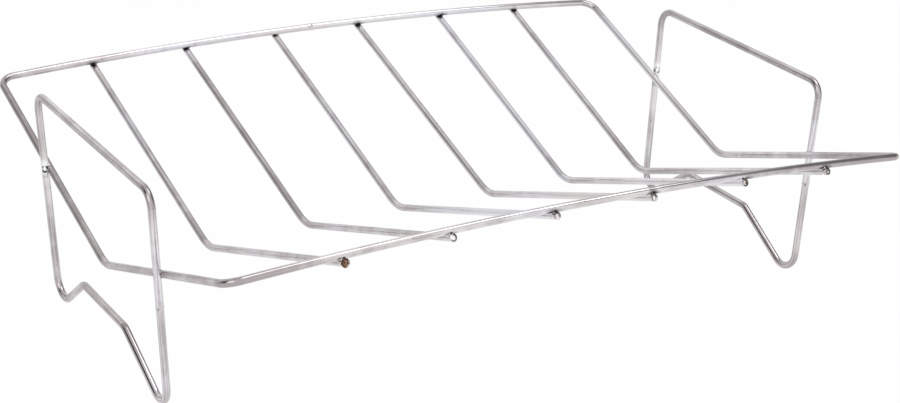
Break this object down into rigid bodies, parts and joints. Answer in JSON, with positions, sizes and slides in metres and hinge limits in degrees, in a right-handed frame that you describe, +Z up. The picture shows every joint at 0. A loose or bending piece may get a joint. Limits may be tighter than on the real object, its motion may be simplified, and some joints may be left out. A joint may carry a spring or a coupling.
{
  "type": "roasting rack",
  "caption": "V-shaped wire rack that holds a roast above a pan, with a folded ring, cross ribs and a leg loop with a handle at each end.",
  "frame": {"origin": "on the surface the rack stands on, below the middle of its length and depth", "axes": "+X along the fold of the V from the left end loop to the right one, +Y to the rear, +Z up"},
  "size_m": [0.416, 0.3098, 0.118],
  "materials": {
    "ring_plate": "bright plated steel wire, polished, with soft drawing marks",
    "rib_plate": "bright plated steel wire, with bare cut ends that have started to rust",
    "loop_plate": "bright plated steel wire, polished, duller at the bends and welds"
  },
  "bodies": {
    "root": {"frame_ring": "ring_plate", "rib_1": "rib_plate", "rib_2": "rib_plate", "rib_3": "rib_plate", "rib_4": "rib_plate", "rib_5": "rib_plate", "rib_6": "rib_plate", "left_end_loop": "loop_plate", "right_end_loop": "loop_plate"}
  },
  "joints": []
}
